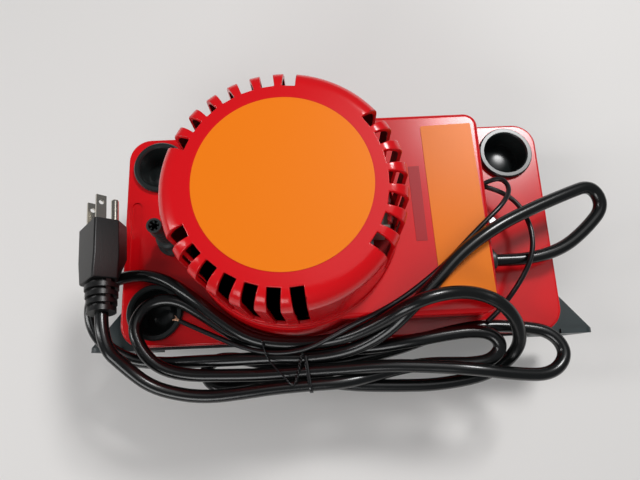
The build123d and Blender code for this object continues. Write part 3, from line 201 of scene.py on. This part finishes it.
cover_shell = stand_in("motor_cover", "cover_shell", "head")
# the inward and downward faces inside the cover get the darker red of painted shade
set_painted_shade_inside(cover_shell, cover_inside)
soften_edges(cover_shell, COVER_EDGE_WIDTH, COVER_EDGE_ANGLE)

# ------------------------------------------------------------------ check valve
VALVE_AXIS = (-0.1074, -0.003)
VALVE_MOUTH = 0.115
MOUTH_HOLE_R = 0.0019
MOUTH_HOLE_DEPTH = 0.007
MOUTH_HOLE_DROP = 0.002
DRILL_SIDES = 32


def cut_round_hole(piece, place, radius, depth):
    """Drills a round hole into a piece."""
    bpy.ops.mesh.primitive_cylinder_add(vertices=DRILL_SIDES, radius=radius, depth=depth, location=place)
    drill = bpy.context.object
    cut = piece.modifiers.new("cut", "BOOLEAN")
    cut.object = drill
    cut.operation = "DIFFERENCE"
    cut.solver = "EXACT"
    bpy.context.view_layer.objects.active = piece
    bpy.ops.object.modifier_apply(modifier=cut.name)
    bpy.data.objects.remove(drill, do_unlink=True)


valve_shell = stand_in("check_valve", "valve_shell", "valve")
cut_round_hole(
    valve_shell, (*VALVE_AXIS, VALVE_MOUTH - MOUTH_HOLE_DROP), MOUTH_HOLE_R, MOUTH_HOLE_DEPTH
)

# ------------------------------------------------------------------ lead bush at the housing wall
BUSH_END_X = 0.0972
LEAD_LAP = 0.001
lead_bush = stand_in("strain_relief", "lead_bush", "head")
for corner in lead_bush.data.vertices:
    corner.co.x = min(corner.co.x, BUSH_END_X)

# ------------------------------------------------------------------ plug
PLUG_FACE = Vector((-0.1474, 0.0041, 0.0921))
PLUG_YAW = math.radians(7.0)
PLUG_DROOP = math.radians(9.3)
PLUG_ROLL = math.radians(47.1)
PLUG_LENGTH = 0.038
# Each section: depth behind the face, then the base, wide and nose corners of one half.
PLUG_SECTIONS = (
    (0.0000, (-0.0094, 0.0113), (0.0040, 0.0128), (0.0124, 0.0060)),
    (0.0005, (-0.0099, 0.0118), (0.0042, 0.0134), (0.0129, 0.0064)),
    (0.0230, (-0.0100, 0.0114), (0.0044, 0.0132), (0.0128, 0.0063)),
    (0.0372, (-0.0100, 0.0090), (0.0046, 0.0112), (0.0074, 0.0052)),
    (0.0380, (-0.0094, 0.0083), (0.0042, 0.0104), (0.0068, 0.0047)),
)
PLUG_CORNER = 0.0013
PLUG_CORNER_STEPS = 3
FACET_NORMAL_WEIGHT = 100
SPINE_HALF_WIDTH = 0.0014
SPINE_LENGTH = 0.0178
# Each end of a spine: distance from the plug's tail, then its lower and upper reach.
SPINE_ENDS = ((0.0, 0.006, 0.0094), (SPINE_LENGTH, 0.005, 0.0078))

blade_way = Vector((
    -math.sin(PLUG_YAW) * math.cos(PLUG_DROOP),
    math.cos(PLUG_YAW) * math.cos(PLUG_DROOP),
    -math.sin(PLUG_DROOP),
))
level_way = Vector((math.cos(PLUG_YAW), math.sin(PLUG_YAW), 0))
upper_way = level_way.cross(blade_way)
ground_way = level_way * math.cos(PLUG_ROLL) - upper_way * math.sin(PLUG_ROLL)
side_way = blade_way.cross(ground_way)


def plug_point(ground, side, depth):
    """A place given in the plug's own directions, this far behind its face."""
    return PLUG_FACE + ground_way * ground + side_way * side - blade_way * depth


def rounded_outline(corners, radius, steps):
    """A closed outline whose corners are rounded with a few points each."""
    outline = []
    for place, corner in enumerate(corners):
        before = (corners[place - 1] - corner).normalized()
        after = (corners[(place + 1) % len(corners)] - corner).normalized()
        reach = radius / math.tan(before.angle(after) / 2)
        for step in range(steps + 1):
            share = step / steps
            start = corner + before * reach
            end = corner + after * reach
            outline.append(start.lerp(corner, share).lerp(corner.lerp(end, share), share))
    return outline


def fix_normals(mesh):
    """Turns every face outwards."""
    build = bmesh.new()
    build.from_mesh(mesh)
    bmesh.ops.recalc_face_normals(build, faces=build.faces)
    build.to_mesh(mesh)
    build.free()


def ring_mesh(name, rings, material, close_ends=True):
    """A skin over rings of equally many points, with flat ends unless they stay open."""
    count = len(rings[0])
    corners = [point for ring in rings for point in ring]
    faces = []
    for ring in range(len(rings) - 1):
        for place in range(count):
            after = (place + 1) % count
            low = ring * count
            faces.append((low + place, low + after, low + count + after, low + count + place))
    if close_ends:
        faces.append(tuple(reversed(range(count))))
        faces.append(tuple(range(len(corners) - count, len(corners))))
    mesh = bpy.data.meshes.new(name)
    mesh.from_pydata(corners, [], faces)
    mesh.materials.append(material)
    piece = bpy.data.objects.new(name, mesh)
    scene.collection.objects.link(piece)
    fix_normals(mesh)
    return piece


def facet_shading(piece):
    """Flat facets with smooth corners between them."""
    piece.data.shade_smooth()
    normals = piece.modifiers.new("normals", "WEIGHTED_NORMAL")
    normals.weight = FACET_NORMAL_WEIGHT


plug_rings = []
for depth, base, wide, nose in PLUG_SECTIONS:
    half = (base, wide, nose)
    corners = [Vector((ground, -side)) for ground, side in half]
    corners += [Vector((ground, side)) for ground, side in reversed(half)]
    outline = rounded_outline(corners, PLUG_CORNER, PLUG_CORNER_STEPS)
    plug_rings.append([plug_point(point.x, point.y, depth) for point in outline])
plug_shell = ring_mesh("plug_shell", plug_rings, plug_plastic)
facet_shading(plug_shell)
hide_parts("plug_body")
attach(plug_shell, "head")

# two spines join the rings of the plug's strain relief
plug_spines = []
for name, side in (("left", -1), ("right", 1)):
    rings = []
    for depth, low, high in SPINE_ENDS:
        section = (
            (-SPINE_HALF_WIDTH, low),
            (-SPINE_HALF_WIDTH, high),
            (SPINE_HALF_WIDTH, high),
            (SPINE_HALF_WIDTH, low),
        )
        rings.append([plug_point(across, side * reach, PLUG_LENGTH + depth) for across, reach in section])
    spine = ring_mesh("plug_spine_" + name, rings, plug_plastic)
    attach(spine, "head")
    plug_spines.append(spine)

# ------------------------------------------------------------------ mains lead and wires
# The same routes as the CAD solids, as the control points of smooth lines.
LEAD_OVER_DECK = [
    (0.1002, -0.027, 0.0885),
    (0.119, -0.027, 0.0885),
    (0.139, -0.022, 0.091),
    (0.154, -0.0105, 0.094),
    (0.1655, 0.0025, 0.097),
    (0.158, 0.016, 0.1005),
    (0.14, 0.0095, 0.1035),
    (0.116, 0.0, 0.106),
    (0.0925, -0.011, 0.1087),
    (0.0715, -0.025, 0.109),
    (0.054, -0.0425, 0.109),
    (0.039, -0.057, 0.1075),
]
LEAD_OUTER_LOOP = [
    (0.0255, -0.069, 0.0965),
    (0.006, -0.078, 0.086),
    (-0.019, -0.081, 0.0815),
    (-0.0415, -0.08, 0.082),
    (-0.066, -0.0805, 0.0805),
    (-0.0915, -0.0805, 0.077),
    (-0.114, -0.081, 0.074),
    (-0.135, -0.0775, 0.0765),
    (-0.1525, -0.064, 0.08),
    (-0.1585, -0.045, 0.08),
    (-0.1515, -0.031, 0.0795),
    (-0.1305, -0.0245, 0.0795),
    (-0.11, -0.029, 0.0825),
    (-0.089, -0.044, 0.089),
    (-0.0725, -0.058, 0.0875),
]
LEAD_ON_DECK_CORNER = [
    (-0.0555, -0.069, 0.087),
    (-0.0365, -0.0725, 0.084),
    (-0.016, -0.0725, 0.0845),
    (0.0045, -0.07, 0.091),
    (0.023, -0.063, 0.104),
    (0.0385, -0.0545, 0.118),
    (0.0575, -0.0495, 0.1175),
    (0.0765, -0.049, 0.11),
    (0.0915, -0.0555, 0.109),
    (0.103, -0.0675, 0.099),
    (0.1065, -0.0815, 0.085),
]
LEAD_HIDDEN_LEFT_LOOP = [
    (0.0915, -0.0955, 0.0725),
    (0.0595, -0.1005, 0.0725),
    (0.0315, -0.1, 0.072),
    (0.004, -0.0985, 0.072),
    (-0.0205, -0.094, 0.073),
    (-0.0505, -0.094, 0.072),
    (-0.066, -0.098, 0.0705),
    (-0.081, -0.0965, 0.07),
    (-0.0875, -0.0875, 0.07),
    (-0.081, -0.0795, 0.07),
    (-0.0655, -0.0795, 0.071),
    (-0.0505, -0.083, 0.0725),
    (-0.0315, -0.0845, 0.0735),
]
LEAD_FRONT_EDGE_LOOP = [
    (-0.008, -0.0855, 0.073),
    (0.014, -0.0825, 0.072),
    (0.0365, -0.0775, 0.0725),
    (0.053, -0.072, 0.0795),
    (0.067, -0.069, 0.0795),
    (0.086, -0.066, 0.0795),
    (0.1105, -0.0675, 0.0795),
    (0.1295, -0.0715, 0.08),
    (0.137, -0.085, 0.0805),
    (0.125, -0.097, 0.083),
    (0.101, -0.0955, 0.087),
    (0.077, -0.0915, 0.0905),
    (0.051, -0.089, 0.0875),
    (0.0245, -0.0875, 0.086),
    (-0.002, -0.0885, 0.083),
]
LEAD_BUNG_LOOP = [
    (-0.0265, -0.089, 0.082),
    (-0.0495, -0.09, 0.082),
    (-0.0735, -0.0895, 0.082),
    (-0.0955, -0.0885, 0.083),
    (-0.1115, -0.0835, 0.0845),
    (-0.1225, -0.0725, 0.0855),
    (-0.1285, -0.0575, 0.084),
    (-0.1205, -0.044, 0.083),
    (-0.1035, -0.0415, 0.083),
    (-0.0865, -0.052, 0.08),
    (-0.0705, -0.0635, 0.0795),
    (-0.0555, -0.0715, 0.0795),
    (-0.04, -0.0758, 0.075),
]
LEAD_RIGHT_TURN = [
    (-0.025, -0.076, 0.074),
    (-0.0075, -0.077, 0.074),
    (0.0165, -0.077, 0.08),
    (0.0405, -0.074, 0.0875),
    (0.062, -0.071, 0.0875),
    (0.077, -0.0695, 0.0875),
    (0.09, -0.071, 0.0875),
    (0.096, -0.079, 0.0865),
    (0.0895, -0.087, 0.084),
    (0.0775, -0.0885, 0.082),
    (0.068, -0.088, 0.0805),
    (0.0515, -0.0875, 0.0775),
]
LEAD_TO_PLUG = [
    (0.035, -0.0895, 0.0765),
    (0.019, -0.093, 0.077),
    (0.0005, -0.0965, 0.0815),
    (-0.0205, -0.097, 0.082),
    (-0.0415, -0.098, 0.083),
    (-0.0605, -0.1, 0.084),
    (-0.08, -0.1015, 0.085),
    (-0.097, -0.0995, 0.087),
    (-0.114, -0.094, 0.09),
    (-0.127, -0.083, 0.0945),
    (-0.1383, -0.0698, 0.1044),
    (-0.1406, -0.05135, 0.10135),
]
LONG_WIRE_ROUTE = [
    (0.09555, 0.023, 0.0897),
    (0.1055, 0.0275, 0.092),
    (0.11, 0.017, 0.097),
    (0.1015, 0.005, 0.1035),
    (0.0905, -0.0045, 0.104),
    (0.079, -0.015, 0.103),
    (0.065, -0.0285, 0.103),
    (0.051, -0.0395, 0.103),
    (0.0365, -0.0495, 0.1035),
    (0.0225, -0.057, 0.104),
    (0.0085, -0.0625, 0.1),
    (-0.005, -0.069, 0.0945),
    (-0.019, -0.0755, 0.0903),
    (-0.0335, -0.078, 0.0875),
    (-0.0485, -0.077, 0.086),
    (-0.0635, -0.0725, 0.0845),
    (-0.078, -0.066, 0.0825),
    (-0.09, -0.0605, 0.0815),
    (-0.1005, -0.0555, 0.081),
]
SHORT_WIRE_ROUTE = [
    (0.09555, 0.023, 0.0863),
    (0.1055, 0.019, 0.088),
    (0.115, 0.0095, 0.091),
    (0.1195, -0.004, 0.094),
    (0.1195, -0.018, 0.096),
    (0.116, -0.03, 0.096),
    (0.11, -0.041, 0.092),
    (0.104, -0.05, 0.087),
    (0.097, -0.058, 0.0845),
    (0.0895, -0.064, 0.0845),
]

# the lead starts inside the shortened bush
LEAD_START = [(BUSH_END_X - LEAD_LAP, *LEAD_OVER_DECK[0][1:])]
LEAD = (
    LEAD_START
    + LEAD_OVER_DECK
    + LEAD_OUTER_LOOP
    + LEAD_ON_DECK_CORNER
    + LEAD_HIDDEN_LEFT_LOOP
    + LEAD_FRONT_EDGE_LOOP
    + LEAD_BUNG_LOOP
    + LEAD_RIGHT_TURN
    + LEAD_TO_PLUG
)
LEAD_DIAMETER = 0.0078
WIRE_DIAMETER = 0.003


def round_curve(name, routes, radius, material, sides, steps):
    """Round lines of one thickness in one object; a route's points are its control points."""
    curve = bpy.data.curves.new(name, "CURVE")
    curve.dimensions = "3D"
    curve.bevel_depth = radius
    curve.bevel_resolution = sides
    curve.resolution_u = steps
    curve.use_fill_caps = True
    for route in routes:
        spline = curve.splines.new("NURBS")
        spline.points.add(len(route) - 1)
        for point, place in zip(spline.points, route):
            point.co = (*place, 1)
        spline.order_u = 3
        spline.use_endpoint_u = True
    curve.materials.append(material)
    piece = bpy.data.objects.new(name, curve)
    scene.collection.objects.link(piece)
    return piece


CORD_SIDES = 7
CORD_STEPS = 10
STRAND_STEPS = 6

# ------------------------------------------------------------------ frayed copper end
STRAND_COUNT = 9
STRAND_R = 0.00017
STRAND_SIDES = 4
STRAND_TURN = 2.4
STRAND_LEAST_SPREAD = 0.0002
STRAND_MORE_SPREAD = 0.00055
STRAND_LEAST_LENGTH = 0.0029
STRAND_MORE_LENGTH = 0.0013
STRAND_LAP = 0.0008
STRAND_ROOT_R = 0.00035
STRAND_BASE_R = 0.0004

wire_tip = Vector(LONG_WIRE_ROUTE[-1])
tip_way = (wire_tip - Vector(LONG_WIRE_ROUTE[-2])).normalized()
tip_side = tip_way.cross(Vector((0, 0, 1))).normalized()
tip_up = tip_side.cross(tip_way)
strand_routes = []
for strand in range(STRAND_COUNT):
    turn = strand * STRAND_TURN
    spread = STRAND_LEAST_SPREAD + STRAND_MORE_SPREAD * (strand % 3) / 2
    length = STRAND_LEAST_LENGTH + STRAND_MORE_LENGTH * ((strand * 5) % 7) / 6
    out = tip_side * math.cos(turn) + tip_up * math.sin(turn)
    strand_routes.append([
        wire_tip - tip_way * STRAND_LAP + out * STRAND_ROOT_R,
        wire_tip + tip_way * length * 0.35 + out * (STRAND_BASE_R + spread * 0.3),
        wire_tip + tip_way * length * 0.75 + out * (STRAND_BASE_R + spread),
        wire_tip + tip_way * length + out * (STRAND_BASE_R + spread * 2.2),
    ])
frayed_end = round_curve("frayed_end", strand_routes, STRAND_R, copper, STRAND_SIDES, STRAND_STEPS)
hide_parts("wire_end")
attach(frayed_end, "head")

# ------------------------------------------------------------------ twist tie
TIE_X = -0.0232
TIE_SLANT = -0.14
TIE_TOP_Y = -0.0765
# the five lower passes of the lead, where the tie crosses them: y and z
TIE_CENTERS = (
    (-0.0807, 0.0818),
    (-0.0890, 0.0822),
    (-0.0972, 0.0822),
    (-0.0943, 0.0728),
    (-0.0849, 0.0733),
)
TIE_INNER = 0.00395
TIE_OUTER = 0.0046
TIE_HALF_WIDTH = 0.0011
TIE_STEPS = 120
# The band's section: distance from the pass's middle, and share of the half width.
TIE_SECTION = (
    (TIE_INNER, -0.7),
    (TIE_INNER, 0.7),
    (TIE_INNER + 0.00012, 1),
    (TIE_OUTER - 0.00015, 1),
    (TIE_OUTER, 0.7),
    (TIE_OUTER, -0.7),
    (TIE_OUTER - 0.00015, -1),
    (TIE_INNER + 0.00012, -1),
)
TWIST_TURNS = 5
TWIST_STEPS = 10
TWIST_R = 0.00055
TIE_STRAND_R = 0.00055
TIE_STRAND_SIDES = 3
TIE_MERGE_DISTANCE = 0.0000001
TWIST_LINE = [Vector(place) for place in (
    (-0.0240, -0.0786, 0.0868),
    (-0.0250, -0.0805, 0.0877),
    (-0.0264, -0.0865, 0.0879),
    (-0.0286, -0.0945, 0.0877),
)]
TIE_TAIL = [Vector(place) for place in (
    (-0.0296, -0.0966, 0.0882),
    (-0.0318, -0.0962, 0.0885),
    (-0.0352, -0.0918, 0.0886),
    (-0.0400, -0.0868, 0.0882),
    (-0.0440, -0.0825, 0.0875),
    (-0.0470, -0.0760, 0.0897),
    (-0.0480, -0.0695, 0.0917),
)]

tie_rings = []
for step in range(TIE_STEPS):
    turn = 2 * math.pi * step / TIE_STEPS
    normal = Vector((math.cos(turn), math.sin(turn)))
    center = max((Vector(place) for place in TIE_CENTERS), key=lambda place: place.dot(normal))
    ring = []
    for reach, across in TIE_SECTION:
        place = center + normal * reach
        x = TIE_X + TIE_SLANT * (place.x - TIE_TOP_Y) + across * TIE_HALF_WIDTH
        ring.append(Vector((x, place.x, place.y)))
    tie_rings.append(ring)
tie_rings.append(tie_rings[0])
tie_band = ring_mesh("tie_band", tie_rings, tie_paper, close_ends=False)

# a twisted pair over the passes, of which one strand goes on as the tail
strand_lines = []
for start in (0, math.pi):
    line = []
    for step in range(TWIST_TURNS * TWIST_STEPS + 1):
        share = step / (TWIST_TURNS * TWIST_STEPS) * (len(TWIST_LINE) - 1)
        leg = min(int(share), len(TWIST_LINE) - 2)
        middle = TWIST_LINE[leg].lerp(TWIST_LINE[leg + 1], share - leg)
        way = (TWIST_LINE[leg + 1] - TWIST_LINE[leg]).normalized()
        flat = way.cross(Vector((0, 0, 1))).normalized()
        turn = start + 2 * math.pi * step / TWIST_STEPS
        aside = flat * TWIST_R * math.cos(turn)
        line.append(middle + aside + flat.cross(way) * TWIST_R * math.sin(turn))
    strand_lines.append(line)
strand_lines[0] += TIE_TAIL
tie_strands = round_curve(
    "tie_strands", strand_lines, TIE_STRAND_R, tie_paper, TIE_STRAND_SIDES, STRAND_STEPS
)

tie_build = bmesh.new()
for piece in (tie_band, tie_strands):
    evaluated = piece.evaluated_get(bpy.context.evaluated_depsgraph_get())
    tie_build.from_mesh(bpy.data.meshes.new_from_object(evaluated))
tie_mesh = bpy.data.meshes.new("tie")
bmesh.ops.remove_doubles(tie_build, verts=tie_build.verts, dist=TIE_MERGE_DISTANCE)
bmesh.ops.recalc_face_normals(tie_build, faces=tie_build.faces)
tie_build.to_mesh(tie_mesh)
tie_build.free()
tie_mesh.materials.append(tie_paper)
tie_mesh.shade_smooth()
tie = bpy.data.objects.new("tie", tie_mesh)
scene.collection.objects.link(tie)
bpy.data.objects.remove(tie_band, do_unlink=True)
bpy.data.objects.remove(tie_strands, do_unlink=True)
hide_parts("twist_tie")
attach(tie, "head")

lead = round_curve("lead", [LEAD], LEAD_DIAMETER / 2, cord_jacket, CORD_SIDES, CORD_STEPS)
long_wire = round_curve(
    "long_wire", [LONG_WIRE_ROUTE], WIRE_DIAMETER / 2, wire_jacket, CORD_SIDES, CORD_STEPS
)
short_wire = round_curve(
    "short_wire", [SHORT_WIRE_ROUTE], WIRE_DIAMETER / 2, wire_jacket, CORD_SIDES, CORD_STEPS
)
for piece, node, slot in (
    (lead, "power_cord", "cord_jacket"),
    (long_wire, "alarm_wire_a", "wire_jacket"),
    (short_wire, "alarm_wire_b", "wire_jacket"),
):
    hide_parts(node)
    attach(piece, "head")

plug_pieces = [nodes[name] for name in ("plug_strain_relief", "plug_blades", "ground_pin")]
plug_pieces += [plug_shell, *plug_spines]

# ------------------------------------------------------------------ floor and light
FLOOR_SIZE = 4.0
floor_material = principled("floor_material", (0.80, 0.78, 0.76), 0.6)
bpy.ops.mesh.primitive_plane_add(size=FLOOR_SIZE, location=(0, 0, 0))
floor = bpy.context.object
floor.name = "floor"
floor.data.materials.append(floor_material)

world = bpy.data.worlds.new("world")
scene.world = world
world.use_nodes = True
lighting = world.node_tree.nodes["Background"]
lighting.inputs["Color"].default_value = (0.92, 0.95, 1.0, 1)
lighting.inputs["Strength"].default_value = 0.15
# the camera sees a pale backdrop beyond the floor, at the floor's own tone
backdrop = world.node_tree.nodes.new("ShaderNodeBackground")
backdrop.inputs["Color"].default_value = (0.66, 0.66, 0.65, 1)
ray = world.node_tree.nodes.new("ShaderNodeLightPath")
pick = world.node_tree.nodes.new("ShaderNodeMixShader")
world.node_tree.links.new(ray.outputs["Is Camera Ray"], pick.inputs["Fac"])
world.node_tree.links.new(lighting.outputs["Background"], pick.inputs[1])
world.node_tree.links.new(backdrop.outputs["Background"], pick.inputs[2])
world_output = world.node_tree.nodes["World Output"]
world.node_tree.links.new(pick.outputs["Shader"], world_output.inputs["Surface"])


def area_light(name, place, target, size, size_y, power):
    """A rectangular lamp that faces the target."""
    data = bpy.data.lights.new(name, "AREA")
    data.shape = "RECTANGLE"
    data.size = size
    data.size_y = size_y
    data.energy = power
    lamp = bpy.data.objects.new(name, data)
    way = Vector(target) - Vector(place)
    lamp.rotation_euler = way.to_track_quat("-Z", "Y").to_euler()
    lamp.location = place
    scene.collection.objects.link(lamp)


area_light("window", (0.58, 0.72, 1.30), (0, 0, 0.08), 0.34, 0.26, 12)
area_light("ceiling", (0.45, 0.45, 1.70), (0, 0, 0.08), 1.2, 1.2, 3.5)
area_light("left_strip", (-1.15, -0.05, 0.85), (0, 0, 0.10), 0.16, 1.0, 5)
area_light("front_fill", (-0.5, -1.3, 1.0), (0, 0, 0.08), 0.9, 0.6, 8)
